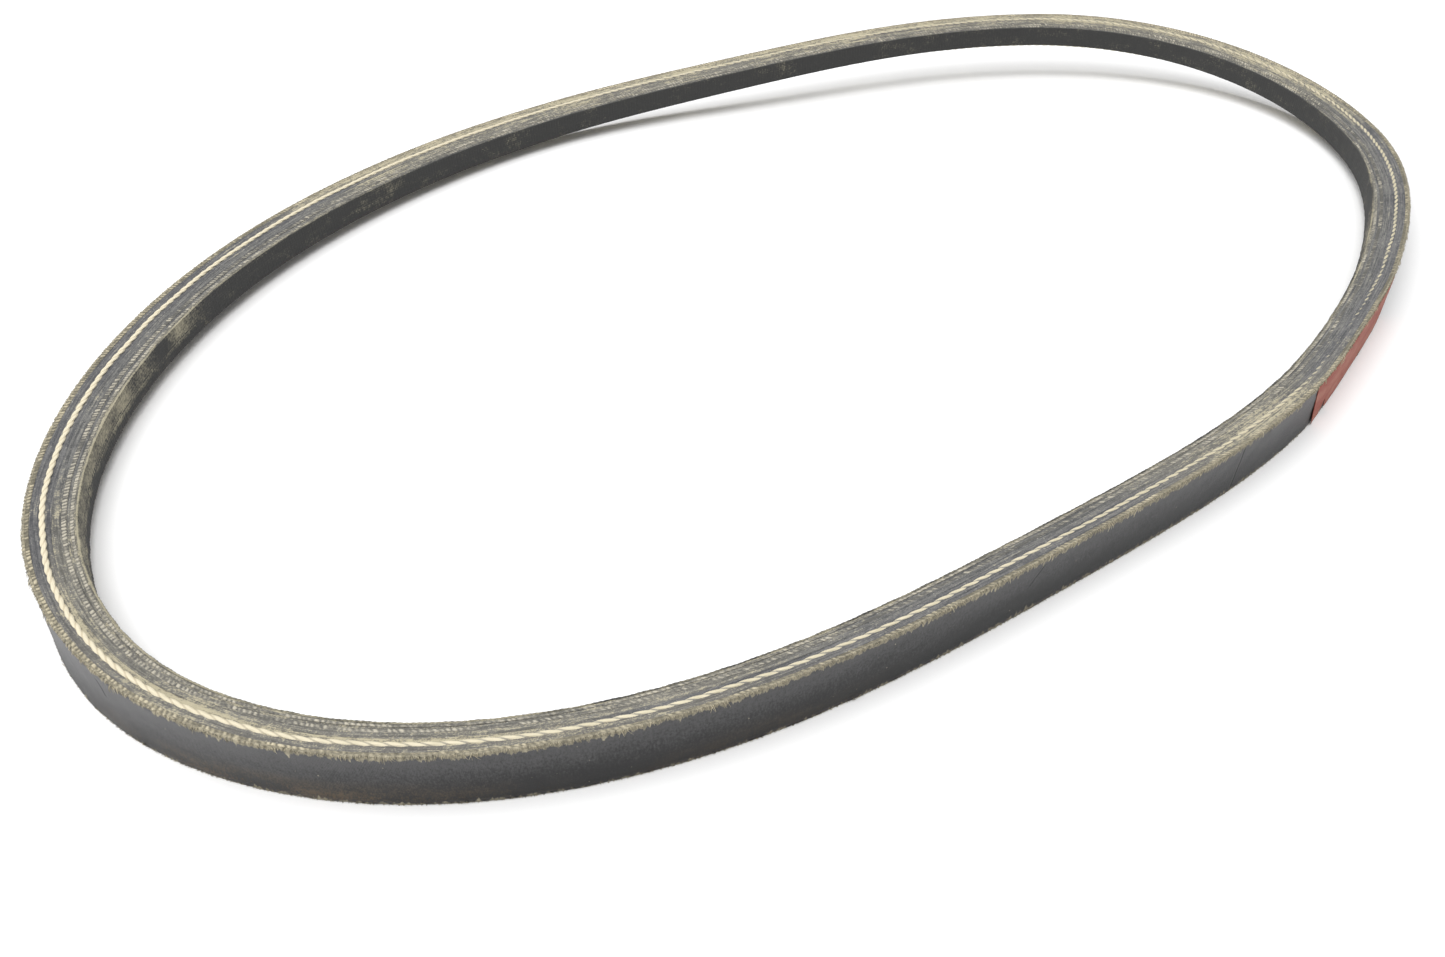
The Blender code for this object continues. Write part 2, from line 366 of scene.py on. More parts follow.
# A painted sheen, where the left bend catches the light at a grazing angle: the back is made paler from 600 to 675 mm
# round the loop.
mark_wear_and_sheen(back_cloth, "painted_sheen", 20, 0, ((600, 675, 0.2),))
mark_wear_and_sheen(back_cloth, "fray", 20, 0, ((640, 785, 0.42), (785, 910, 1)))
finish, tree, shader = new_finish("rubbered_back_cloth", 0.5, 0.35)
drum = read_mark(tree, "drum").outputs["Vector"]
lay = read_lay(tree)
split = tree.nodes.new("ShaderNodeSeparateXYZ")
put(tree, split.inputs[0], drum)
up = split.outputs["Z"]
worn = mottle(tree, drum, (0.05, 0.05, 0.2), 5, 0.65)
fine = mottle(tree, drum, (2.2, 2.2, 1.6), 4, 0.75)
drawn = mottle(tree, drum, (2.4, 2.4, 0.25), 3, 0.6)
weave = use_effect(tree, bias_cloth, Lay=lay, Pitch=0.55 * MM)["Height"]
# Painted shade: the back is darker towards its lower edge, next to the table, and paler towards its upper edge. The
# mottle, grain, scoring and weave are its own tone.
back_tone_and_painted_light = sums(tree, "MULTIPLY_ADD", worn, 0.7, sums(tree, "MULTIPLY_ADD", up, 0.135, -1.83))
back_tone_and_painted_light = sums(tree, "MULTIPLY_ADD", fine, 2.5, back_tone_and_painted_light)
back_tone_and_painted_light = sums(tree, "MULTIPLY_ADD", drawn, 0.5, back_tone_and_painted_light)
back_tone_and_painted_light = sums(tree, "MULTIPLY_ADD", weave, 0.12, back_tone_and_painted_light)
# The painted sheen makes the back paler along the left bend.
back_tone_and_painted_light = sums(tree, "ADD", back_tone_and_painted_light, read_mark(tree, "painted_sheen").outputs["Fac"])
back_colour = tint(tree, between(tree, back_tone_and_painted_light, -0.35, 1.0), BACK_DARK, BACK_WORN_AND_LIT)
stain = sums(tree, "MULTIPLY", read_mark(tree, "stain").outputs["Fac"], between(tree, up, 1.0, -6.0))
stain = sums(tree, "MULTIPLY", stain, between(tree, sums(tree, "ADD", fine, worn), 0.9, 1.25))
back_colour = tint(tree, stain, back_colour, BACK_BROWN)
slits = sums(tree, "MAXIMUM", slit(tree, lay, BACK_NICK, 0.6 * MM), slit(tree, lay, BACK_LAP, 0.4 * MM))
slits = sums(tree, "MAXIMUM", slits, sums(tree, "MULTIPLY", slit(tree, lay, BACK_SCRATCH, 0.4 * MM), 0.6))
back_colour = tint(tree, sums(tree, "MULTIPLY", slits, 0.9), back_colour, (0.006, 0.006, 0.006, 1))
lint = between(tree, mottle(tree, drum, (0.9, 0.9, 0.9), 1, 0.4), 0.79, 0.81)
back_colour = tint(tree, sums(tree, "MULTIPLY", lint, 0.5), back_colour, THREAD_TAN)
tuft = mottle(tree, drum, (0.9, 0.9, 0.2), 4, 0.7)
stand = read_mark(tree, "stand").outputs["Fac"]
tuft = sums(tree, "MULTIPLY_ADD", stand, 0.17, tuft)
tuft = sums(tree, "MULTIPLY_ADD", read_mark(tree, "fray").outputs["Fac"], 0.12, tuft)
upper_fringe = between(tree, sums(tree, "MULTIPLY_ADD", tuft, 5, up), 8.4, 8.8)
lower_fringe = between(tree, sums(tree, "MULTIPLY_ADD", tuft, 5, sums(tree, "MULTIPLY", up, -1)), 9.1, 9.4)
lower_fringe = sums(tree, "MULTIPLY", lower_fringe, 0.8)
tan = sums(tree, "MULTIPLY_ADD", fine, 1.6, sums(tree, "MULTIPLY_ADD", stand, 0.6, -0.6))
thread_colour = tint(tree, tan, THREAD_DIRTY, THREAD_TAN)
fringe = sums(tree, "MAXIMUM", upper_fringe, lower_fringe)
put(tree, shader.inputs["Base Color"], tint(tree, fringe, back_colour, thread_colour))
rough = sums(tree, "MULTIPLY_ADD", fine, 0.3, 0.32)
put(tree, shader.inputs["Roughness"], sums(tree, "MULTIPLY_ADD", fringe, 0.4, rough))
bump(tree, shader, sums(tree, "MULTIPLY_ADD", slits, -4, sums(tree, "ADD", fine, sums(tree, "MULTIPLY", weave, 0.7))), 0.035 * MM)
back_cloth.data.materials.append(finish)
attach(back_cloth, "root")
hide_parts("outer_cover_ply")

# Inner cover ply: a second ply of the same cloth under the first. Only its cut edge shows, as a row
# of tan thread ends along the outer edge of each flank.


def edge_relief(start, seed, stand, dip):
    def relief(run, depth, height, girth):
        on_flank = np.abs(height) > half_width(depth) - 0.01 * MM
        threads = thread_crest(run, girth, start, seed)
        chatter = 0.04 * ripple(run, girth, 100, 700, seed)
        higher = np.sign(height) * on_flank * (stand * threads - dip + chatter) * MM
        return np.zeros_like(run), higher, threads

    return relief


edge_cloth = wrap_ply("edge_cloth", 5940, ply_section(0.53 * MM, 1.18 * MM, 4, 1, 1), edge_relief(0.3, 11, 0.17, 0.05))


# Pale dust from handling: along which stretches it lies on the flanks outside the cord, and how thick.
DUST_FADE = 20
OUTER_CLEAN = -0.1
OUTER_DUST = ((1120, 415, 0.9), (600, 760, 0.5), (855, 930, 0.6))


def thread_finish(name, tan_colour, dirty_colour, dirt):
    finish, tree, shader = new_finish(name, 0.85, 0.2)
    drum = read_mark(tree, "drum").outputs["Vector"]
    stand = read_mark(tree, "stand").outputs["Fac"]
    stain = mottle(tree, drum, (0.08, 0.08, 0.6), 5, 0.7)
    fibre = mottle(tree, drum, (2.6, 2.6, 2.2), 4, 0.75)
    smear = mottle(tree, drum, (0.5, 0.5, 1.2), 3, 0.6)
    tan = sums(tree, "MULTIPLY_ADD", stand, 1.25, sums(tree, "MULTIPLY", read_mark(tree, "dust").outputs["Fac"], 0.4))
    tan = sums(tree, "MULTIPLY_ADD", sums(tree, "SUBTRACT", stain, 0.5), dirt, tan)
    tan = sums(tree, "MULTIPLY_ADD", sums(tree, "SUBTRACT", smear, 0.5), 0.9, tan)
    tan = sums(tree, "MULTIPLY_ADD", sums(tree, "SUBTRACT", fibre, 0.5), 1.1, tan)
    put(tree, shader.inputs["Base Color"], tint(tree, between(tree, tan, -0.08, 1.1), dirty_colour, tan_colour))
    bump(tree, shader, fibre, 0.07 * MM)
    return finish


mark_wear_and_sheen(edge_cloth, "dust", DUST_FADE, OUTER_CLEAN, OUTER_DUST)
edge_cloth.data.materials.append(thread_finish("cut_cover_threads", THREAD_TAN, THREAD_DIRTY, 1.0))
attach(edge_cloth, "root")
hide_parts("inner_cover_ply")

# Tension rubber: the black rubber cushion above the cord. It flows round the winding in the mould,
# down to the middle of the cord, and shows as a dark grey line on the flank, dusty where it is handled.

# Cut rubber: grain, pale flecks of short fibre, streaks drawn along by the knife, and dust on top.
cut_rubber, given, made = new_effect(
    "cut_rubber",
    (("Drum", "NodeSocketVector"), ("Dust", "NodeSocketFloat"), ("Dark", "NodeSocketColor"),
     ("Fleck", "NodeSocketColor"), ("Film", "NodeSocketColor")),
    (("Color", "NodeSocketColor"), ("Height", "NodeSocketFloat"), ("Film", "NodeSocketFloat")),
)
grain = mottle(cut_rubber, given["Drum"], (2.4, 2.4, 2.8), 3, 0.8)
blotch = mottle(cut_rubber, given["Drum"], (0.45, 0.45, 0.9), 4, 0.7)
streak = mottle(cut_rubber, given["Drum"], (0.07, 0.07, 2.6), 4, 0.65)
patch = mottle(cut_rubber, given["Drum"], (0.05, 0.05, 0.3), 5, 0.65)
speck = mottle(cut_rubber, given["Drum"], (1.3, 1.3, 2.6), 2, 0.5)
tone = sums(cut_rubber, "MULTIPLY_ADD", grain, 0.4, sums(cut_rubber, "MULTIPLY", blotch, 0.3))
tone = sums(cut_rubber, "MULTIPLY_ADD", streak, 0.65, tone)
colour = tint(cut_rubber, between(cut_rubber, tone, 0.53, 0.83), given["Dark"], given["Fleck"])
film = sums(cut_rubber, "MULTIPLY_ADD", sums(cut_rubber, "SUBTRACT", patch, 0.5), 1.8, given["Dust"])
film = sums(cut_rubber, "MULTIPLY_ADD", sums(cut_rubber, "SUBTRACT", streak, 0.5), 1.9, film)
film = sums(cut_rubber, "MULTIPLY_ADD", sums(cut_rubber, "SUBTRACT", blotch, 0.5), 2.1, film)
film = sums(cut_rubber, "MULTIPLY_ADD", sums(cut_rubber, "SUBTRACT", grain, 0.5), 2.5, film)
film = sums(cut_rubber, "MULTIPLY", between(cut_rubber, film, 0.2, 1.1), 0.85)
film = sums(cut_rubber, "MAXIMUM", film, sums(cut_rubber, "MULTIPLY", given["Dust"], 0.25))
colour = tint(cut_rubber, film, colour, given["Film"])
lint = sums(cut_rubber, "MULTIPLY", between(cut_rubber, speck, 0.66, 0.74), 0.5)
put(cut_rubber, made["Color"], tint(cut_rubber, lint, colour, (0.56, 0.54, 0.48, 1)))
put(cut_rubber, made["Height"], sums(cut_rubber, "ADD", tone, grain))
put(cut_rubber, made["Film"], film)

RUBBER_DARK = (0.05, 0.051, 0.056, 1)
RUBBER_FLECK = (0.18, 0.178, 0.175, 1)
DUST_FILM = (0.5, 0.45, 0.31, 1)


def rubber_finish(name, dark, fleck, film):
    finish, tree, shader = new_finish(name, 0.75, 0.3)
    drum = read_mark(tree, "drum").outputs["Vector"]
    dust = read_mark(tree, "dust").outputs["Fac"]
    cut = use_effect(tree, cut_rubber, Drum=drum, Dust=dust, Dark=dark, Fleck=fleck, Film=film)
    put(tree, shader.inputs["Base Color"], cut["Color"])
    put(tree, shader.inputs["Roughness"], sums(tree, "MULTIPLY_ADD", cut["Film"], 0.2, 0.65))
    bump(tree, shader, cut["Height"], 0.06 * MM)
    return finish


def rubber_relief(dip, seed):
    def relief(run, depth, height, girth):
        on_flank = np.abs(height) > half_width(depth) - 0.01 * MM
        chatter = 0.035 * ripple(run, girth, 60, 500, seed) + 0.04 * ripple(run, girth, 6, 40, seed + 1)
        return np.zeros_like(run), np.sign(height) * on_flank * (chatter - dip) * MM, chatter

    return relief


cushion_finish = rubber_finish("cut_cushion_rubber", RUBBER_DARK, RUBBER_FLECK, DUST_FILM)
over_cord = wrap_ply("cushion_over_cord", 1980, ply_section(1.19 * MM, 3.4 * MM, 7, 1, 1), rubber_relief(0.06, 21))
mark_wear_and_sheen(over_cord, "dust", DUST_FADE, OUTER_CLEAN, OUTER_DUST)
over_cord.data.materials.append(cushion_finish)
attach(over_cord, "root")
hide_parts("tension_rubber")

# Adhesion rubber: the cushion below the cord, of the same black rubber. It meets the upper cushion
# round the winding, so that the cord lies bedded between the two.

under_cord = wrap_ply("cushion_under_cord", 1980, ply_section(3.41 * MM, 5.02 * MM, 6, 1, 1), rubber_relief(0.05, 31))
UNDER_CLEAN = -0.15
UNDER_DUST = ((1115, 90, 0.95), (90, 380, 0.55), (590, 715, 1.1), (850, 915, 0.55))
mark_wear_and_sheen(under_cord, "dust", DUST_FADE, UNDER_CLEAN, UNDER_DUST)
under_cord.data.materials.append(cushion_finish)
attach(under_cord, "root")
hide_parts("adhesion_rubber")

# Tensile cord: two cream polyester strands twisted into one cord, which is wound as a helix across
# the belt's width. The flanks are cut through the winding, so its last turn shows along the flank.

CORD_DEPTH = 3.4 * MM
STRAND_RADIUS = 0.44 * MM
STRAND_OFFSET = 0.2 * MM
STRAND_LAY = 6.6 * MM
CORD_TURNS = 6.61
CORD_END = 938 * MM
CORD_CORNERS = 14
FINE_RINGS = 2400
HIDDEN_RINGS = 240

fine_turns = np.arange(FINE_RINGS + 1) / FINE_RINGS
hidden = np.linspace(1, CORD_TURNS - 1, round(HIDDEN_RINGS * (CORD_TURNS - 2)))[1:-1]
cord_turn = np.concatenate([fine_turns, hidden, CORD_TURNS - 1 + fine_turns])
cord_open = np.concatenate([np.ones(FINE_RINGS), np.zeros(len(hidden) + 1), np.ones(FINE_RINGS + 1)])
cord_twist = np.concatenate([[0], np.cumsum(np.diff(cord_turn) * cord_open[1:])]) * LOOP_LENGTH / STRAND_LAY * math.tau

# How far the middle of the shown turn lies below the flank, from where it comes out to where it ends.
SHOWN_TURN = (0, 0.04, 0.1, 0.38, 0.48, 0.6, 0.7, 0.8, 0.9, 0.97, 1)
SHOWN_DIP = (0.7, 0.53, 0.42, 0.34, 0.15, 0.02, 0.03, 0.24, 0.35, 0.45, 0.7)
cord_flank = half_width(CORD_DEPTH)
upper_dip = np.interp(cord_turn - (CORD_TURNS - 1), SHOWN_TURN, SHOWN_DIP) * MM
lower_dip = np.interp(1 - cord_turn, SHOWN_TURN, SHOWN_DIP) * MM
climb = np.clip((cord_turn - 1) / (CORD_TURNS - 2), 0, 1)
cord_height = (climb * (cord_flank - upper_dip)) - (1 - climb) * (cord_flank - lower_dip)
cord_run = CORD_END + (cord_turn - CORD_TURNS) * LOOP_LENGTH

cord_strip = bmesh.new()
bmesh.ops.create_grid(cord_strip, x_segments=len(cord_turn) - 1, y_segments=CORD_CORNERS, size=0.5)
cord_mesh = bpy.data.meshes.new("wound_cord")
cord_strip.to_mesh(cord_mesh)
flat = np.empty(len(cord_mesh.vertices) * 3)
cord_mesh.vertices.foreach_get("co", flat)
flat = flat.reshape(-1, 3) + 0.5
ring = np.rint(flat[:, 0] * (len(cord_turn) - 1)).astype(int)
around = np.rint(flat[:, 1] * CORD_CORNERS) / CORD_CORNERS * math.tau
waist = np.sqrt(np.maximum(STRAND_RADIUS ** 2 - (STRAND_OFFSET * np.sin(around)) ** 2, 0))
lobes = STRAND_OFFSET * np.abs(np.cos(around)) + waist
plain = np.full_like(lobes, STRAND_RADIUS + STRAND_OFFSET)
cord_radius = np.where(cord_open[ring] > 0, lobes, plain)
cord_lean = around + cord_twist[ring]
wander = 0.1 * ripple(cord_run[ring] % LOOP_LENGTH, 0 * around, 8, 60, 41) * MM
depth = CORD_DEPTH + wander + cord_radius * np.cos(cord_lean)
height = cord_height[ring] + cord_radius * np.sin(cord_lean)
proud = np.abs(height) - half_width(depth)
PROUD_MOST = 0.3 * MM
height = np.where(proud > 0, np.sign(height) * (half_width(depth) + PROUD_MOST * np.tanh(proud / PROUD_MOST)), height)
corner = np.empty(len(cord_mesh.loops), dtype=np.int32)
cord_mesh.loops.foreach_get("vertex_index", corner)
cord_lay = np.stack([cord_turn[ring] * LOOP_LENGTH, around / math.tau], axis=1).astype(np.float32)
cord_mesh.uv_layers.new(name="lay").data.foreach_set("uv", cord_lay[corner].ravel())
crown = (np.abs(np.cos(around)) * cord_open[ring]).astype(np.float32)
cord_mesh.attributes.new("crown", "FLOAT", "POINT").data.foreach_set("value", crown)
shown_dip = np.where(cord_turn > CORD_TURNS / 2, upper_dip, lower_dip)[ring] / MM
cord_mesh.attributes.new("dip", "FLOAT", "POINT").data.foreach_set("value", shown_dip.astype(np.float32))
cord_mesh.vertices.foreach_set("co", lay_down(cord_run[ring], depth, height).ravel())
cord_strip.clear()
cord_strip.from_mesh(cord_mesh)
edge = [vertex for vertex in cord_strip.verts if vertex.is_boundary]
bmesh.ops.remove_doubles(cord_strip, verts=edge, dist=0.0005 * MM)
bmesh.ops.holes_fill(cord_strip, edges=[side for side in cord_strip.edges if side.is_boundary], sides=0)
bmesh.ops.recalc_face_normals(cord_strip, faces=cord_strip.faces)
cord_strip.to_mesh(cord_mesh)
cord_strip.free()
cord_mesh.shade_smooth()
wound_cord = bpy.data.objects.new("wound_cord", cord_mesh)
bpy.context.scene.collection.objects.link(wound_cord)

# The cord's own cream, a painted shade for the groove between its strands, and the grey rubber smeared on it.
CORD_CREAM = (0.71, 0.645, 0.485, 1)
CORD_GROOVE_SHADE = (0.55, 0.475, 0.33, 1)
CORD_SMEAR = (0.18, 0.176, 0.165, 1)

finish, tree, shader = new_finish("twisted_polyester", 0.7, 0.3)
lay = read_lay(tree)
split = tree.nodes.new("ShaderNodeSeparateXYZ")
put(tree, split.inputs[0], lay)
place = tree.nodes.new("ShaderNodeTexCoord").outputs["Object"]
fuzz = mottle(tree, place, (1500, 1500, 1500), 3, 0.7)
smear = mottle(tree, place, (260, 260, 260), 3, 0.6)
crown = read_mark(tree, "crown").outputs["Fac"]
dip = read_mark(tree, "dip").outputs["Fac"]
pale = between(tree, sums(tree, "MULTIPLY_ADD", fuzz, 0.4, crown), 0.3, 0.75)
dusty = between(tree, sums(tree, "MULTIPLY_ADD", smear, 0.6, dip), 0.38, 0.8)
colour = tint(tree, sums(tree, "MULTIPLY", dusty, 0.7), CORD_CREAM, DUST_FILM)
# Between the crests of the strands the cord gets a painted shade. Where it lies deeper, it gets the grey rubber
# smeared over it instead.
groove_shade_and_smear = tint(tree, between(tree, dip, 0.1, 0.3), CORD_GROOVE_SHADE, CORD_SMEAR)
colour = tint(tree, pale, groove_shade_and_smear, colour)
covered = sums(tree, "MULTIPLY_ADD", dip, 1.2, sums(tree, "MULTIPLY_ADD", smear, 0.9, -1.05))
put(tree, shader.inputs["Base Color"], tint(tree, between(tree, covered, -0.05, 0.35), colour, CORD_SMEAR))
fibres = sums(tree, "SINE", sums(tree, "MULTIPLY_ADD", split.outputs["X"], 9000, sums(tree, "MULTIPLY", split.outputs["Y"], 63)))
bump(tree, shader, sums(tree, "MULTIPLY_ADD", fibres, 0.3, fuzz), 0.04 * MM)
wound_cord.data.materials.append(finish)
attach(wound_cord, "root")
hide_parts("tensile_cord")

# Compression rubber: the grey body of the belt below the cord, loaded with short fibres that lie
# across it. Two stiffening plies part it into three layers, and the knife leaves it matt and flecked.

BODY_DARK = (0.05, 0.051, 0.053, 1)
BODY_FLECK = (0.2, 0.197, 0.186, 1)
BODY_CLEAN = -0.12
BODY_DUST = ((1125, 400, 0.55), (565, 765, 0.5), (845, 920, 0.5))

# The rim next to the inner face is paler all along the near side, where the pulleys have rubbed it.
RIM_CLEAN = 0.15
RIM_DUST = ((395, 1080, 0.32),)
body_finish = rubber_finish("cut_body_rubber", BODY_DARK, BODY_FLECK, DUST_FILM)
body_upper = wrap_ply("body_rubber_upper", 1980, ply_section(5.03 * MM, 6.78 * MM, 6, 1, 1), rubber_relief(0.05, 51))
mark_wear_and_sheen(body_upper, "dust", DUST_FADE, BODY_CLEAN, BODY_DUST)
body_upper.data.materials.append(body_finish)
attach(body_upper, "root")
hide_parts("upper_compression_rubber")

body_middle = wrap_ply("body_rubber_middle", 1980, ply_section(7.63 * MM, 8.32 * MM, 4, 1, 1), rubber_relief(0.13, 61))
mark_wear_and_sheen(body_middle, "dust", DUST_FADE, BODY_CLEAN, BODY_DUST)
body_middle.data.materials.append(body_finish)
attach(body_middle, "root")
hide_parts("middle_compression_rubber")

body_lower = wrap_ply("body_rubber_lower", 1980, ply_section(8.93 * MM, 9.27 * MM, 3, 1, 1), rubber_relief(0.08, 71))
mark_wear_and_sheen(body_lower, "dust", DUST_FADE, RIM_CLEAN, RIM_DUST)
body_lower.data.materials.append(body_finish)
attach(body_lower, "root")
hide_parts("lower_compression_rubber")

# Stiffener plies: two plies of cloth bonded into the body of the belt. Each shows on the flank as a
# ribbed line of cut thread ends, like the teeth of a zip.

PLY_TAN = (0.5, 0.465, 0.38, 1)
PLY_DIRTY = (0.11, 0.108, 0.1, 1)
ply_upper = wrap_ply("stiffener_cloth_upper", 5940, ply_section(6.79 * MM, 7.62 * MM, 4, 1, 1), edge_relief(0.6, 81, 0.14, 0.06))
mark_wear_and_sheen(ply_upper, "dust", DUST_FADE, BODY_CLEAN, BODY_DUST)
ply_upper.data.materials.append(thread_finish("cut_stiffener_threads_upper", PLY_TAN, PLY_DIRTY, 1.2))
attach(ply_upper, "root")
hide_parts("upper_stiffener_ply")

ply_lower = wrap_ply("stiffener_cloth_lower", 5940, ply_section(8.33 * MM, 8.92 * MM, 4, 1, 1), edge_relief(0.1, 91, 0.14, 0.04))
mark_wear_and_sheen(ply_lower, "dust", DUST_FADE, RIM_CLEAN, RIM_DUST)
ply_lower.data.materials.append(thread_finish("cut_stiffener_threads_lower", PLY_TAN, PLY_DIRTY, 1.0))
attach(ply_lower, "root")
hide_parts("lower_stiffener_ply")

# Base fabric: the inner face of the belt, bias cloth rubbed thin by running. Its weave shows through
# the rubber, and tan patches show where the rubber has worn off.


def base_relief(run, depth, height, girth):
    on_flank = (np.abs(height) > half_width(depth) - 0.01 * MM) & (depth < 9.6 * MM)
    on_face = depth > 9.6 * MM
    threads = thread_crest(run, girth, 0.45, 101)
    uneven = 0.06 * ripple(run, height, 30, 260, 103) + 0.04 * np.cos(math.tau * THREADS * run / LOOP_LENGTH)
    higher = np.sign(height) * on_flank * (0.12 * threads - 0.04) * MM
    return uneven * on_face * MM, higher, on_flank * (0.5 + 0.5 * threads)


base_cloth = wrap_ply("base_cloth", 3960, ply_section(9.28 * MM, 9.7 * MM, 3, 1, 5), base_relief)
BARE_PLACES = ((372, 396, 0.2), (474, 489, 0.5), (498, 600, 0.42), (600, 720, 0.3), (1010, 1038, 0.35))
mark_wear_and_sheen(base_cloth, "bare", 5, 0, BARE_PLACES)
mark_wear_and_sheen(base_cloth, "rim", DUST_FADE, RIM_CLEAN, RIM_DUST)
BASE_DARK = (0.044, 0.044, 0.043, 1)
BASE_WORN = (0.36, 0.33, 0.24, 1)
finish, tree, shader = new_finish("worn_base_cloth", 0.8, 0.25)
drum = read_mark(tree, "drum").outputs["Vector"]
lay = read_lay(tree)
patch = mottle(tree, drum, (0.1, 0.1, 0.12), 4, 0.6)
fine = mottle(tree, drum, (1.2, 1.2, 1.2), 4, 0.7)
weave = use_effect(tree, bias_cloth, Lay=lay, Pitch=1.5 * MM)
split = tree.nodes.new("ShaderNodeSeparateXYZ")
put(tree, split.inputs[0], drum)
upper_face = sums(tree, "MAXIMUM", between(tree, split.outputs["Z"], -5.0, -6.8), between(tree, split.outputs["Z"], -0.5, 0.5))
bare = sums(tree, "MULTIPLY", read_mark(tree, "bare").outputs["Fac"], upper_face)
bare = sums(tree, "MULTIPLY_ADD", sums(tree, "SUBTRACT", patch, 0.5), 1.2, bare)
rim = sums(tree, "MULTIPLY", read_mark(tree, "stand").outputs["Fac"], read_mark(tree, "rim").outputs["Fac"])
bare = sums(tree, "MULTIPLY_ADD", rim, 1.1, bare)
bare = sums(tree, "MULTIPLY_ADD", sums(tree, "SUBTRACT", fine, 0.5), 1.2, bare)
bare = sums(tree, "MULTIPLY_ADD", weave["Height"], 0.15, bare)
put(tree, shader.inputs["Base Color"], tint(tree, between(tree, bare, 0.15, 1.0), BASE_DARK, BASE_WORN))
bump(tree, shader, sums(tree, "MULTIPLY_ADD", fine, 0.6, weave["Height"]), 0.06 * MM)
base_cloth.data.materials.append(finish)
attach(base_cloth, "root")
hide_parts("base_fabric")

# Back label: a plain red film stuck on the back, nearly as wide as the belt. Its near end is cut at a
# slight slant and has begun to lift.

LABEL_RED = (0.29, 0.075, 0.052, 1)
LABEL_FADED = (0.37, 0.145, 0.105, 1)
LABEL_START = np.interp(math.radians(281.3), lay_angle, lay_run)
LABEL_LENGTH = 70 * MM
LABEL_HALF = 6.2 * MM
LABEL_SLANT = 4 * MM
LABEL_FILM = 0.12 * MM

# A notch torn in its lower edge: how far along, how deep and its half length.
LABEL_TEAR = (8 * MM, 3.5 * MM, 2.5 * MM)

label_film = bmesh.new()
bmesh.ops.create_grid(label_film, x_segments=120, y_segments=14, size=0.5)
bmesh.ops.solidify(label_film, geom=label_film.faces[:], thickness=1)
label_mesh = bpy.data.meshes.new("red_label")
bmesh.ops.recalc_face_normals(label_film, faces=label_film.faces)
label_film.to_mesh(label_mesh)
flat = np.empty(len(label_mesh.vertices) * 3)
label_mesh.vertices.foreach_get("co", flat)
flat = flat.reshape(-1, 3)
outer = (flat[:, 2] > flat[:, 2].mean()).astype(float)
along = flat[:, 0] + 0.5
slant = LABEL_SLANT * (0.5 - flat[:, 1]) * (1 - along)
label_run = LABEL_START + slant + along * LABEL_LENGTH
lifted = 0.35 * np.exp(-along * 40) * np.clip(0.5 - flat[:, 1], 0, 1) ** 2 * MM
uneven = 0.03 * ripple(label_run, flat[:, 1] * LABEL_HALF, 40, 300, 111) * MM
label_depth = -0.07 * MM - LABEL_FILM * outer - lifted - np.abs(uneven)
torn = LABEL_TEAR[1] * swell(along * LABEL_LENGTH - LABEL_TEAR[0], LABEL_TEAR[2])
label_height = LABEL_HALF - (0.5 - flat[:, 1]) * (2 * LABEL_HALF - torn)
label_mesh.vertices.foreach_set("co", lay_down(label_run, label_depth, label_height).ravel())
label_strip = bmesh.new()
label_strip.from_mesh(label_mesh)
bmesh.ops.recalc_face_normals(label_strip, faces=label_strip.faces)
label_strip.to_mesh(label_mesh)
label_strip.free()
label_film.free()
label_mesh.shade_smooth()
label_mesh.set_sharp_from_angle(angle=math.radians(50))
red_label = bpy.data.objects.new("red_label", label_mesh)
bpy.context.scene.collection.objects.link(red_label)
finish, tree, shader = new_finish("faded_red_film", 0.6, 0.15)
place = tree.nodes.new("ShaderNodeTexCoord").outputs["Object"]
faded = mottle(tree, place, (90, 90, 220), 4, 0.6)
scuff = mottle(tree, place, (900, 900, 900), 3, 0.7)
put(tree, shader.inputs["Base Color"], tint(tree, between(tree, faded, 0.35, 0.7), LABEL_RED, LABEL_FADED))
put(tree, shader.inputs["Roughness"], sums(tree, "MULTIPLY_ADD", scuff, 0.3, 0.5))
bump(tree, shader, scuff, 0.01 * MM)
red_label.data.materials.append(finish)
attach(red_label, "root")
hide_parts("back_label")

# Frayed thread ends: the loose ends of the cover threads, which hang over both edges of the back.
# Each is a thin tapered wisp, as the knife and the pulleys leave it.

TUFT_ENDS = 6
LOWER_TUFT_ENDS = 3
WISPS_UPPER = THREADS * TUFT_ENDS
WISPS_LOWER = THREADS * LOWER_TUFT_ENDS

wisp = bmesh.new()
bmesh.ops.create_cone(wisp, cap_ends=True, segments=3, radius1=1, radius2=0.3, depth=1)
sides = [side for side in wisp.edges if abs(side.verts[0].co.z - side.verts[1].co.z) > 0.5]
bmesh.ops.subdivide_edges(wisp, edges=sides, cuts=2)
bmesh.ops.translate(wisp, verts=wisp.verts, vec=(0, 0, 0.5))
wisp_mesh = bpy.data.meshes.new("wisp")
wisp.to_mesh(wisp_mesh)
wisp.free()
fringe = bmesh.new()
for number in range(WISPS_UPPER + WISPS_LOWER):
    fringe.from_mesh(wisp_mesh)
fringe_mesh = bpy.data.meshes.new("frayed_ends")
fringe.to_mesh(fringe_mesh)
fringe.free()
flat = np.empty(len(fringe_mesh.vertices) * 3)
fringe_mesh.vertices.foreach_get("co", flat)
flat = flat.reshape(WISPS_UPPER + WISPS_LOWER, -1, 3)
bpy.data.meshes.remove(wisp_mesh)

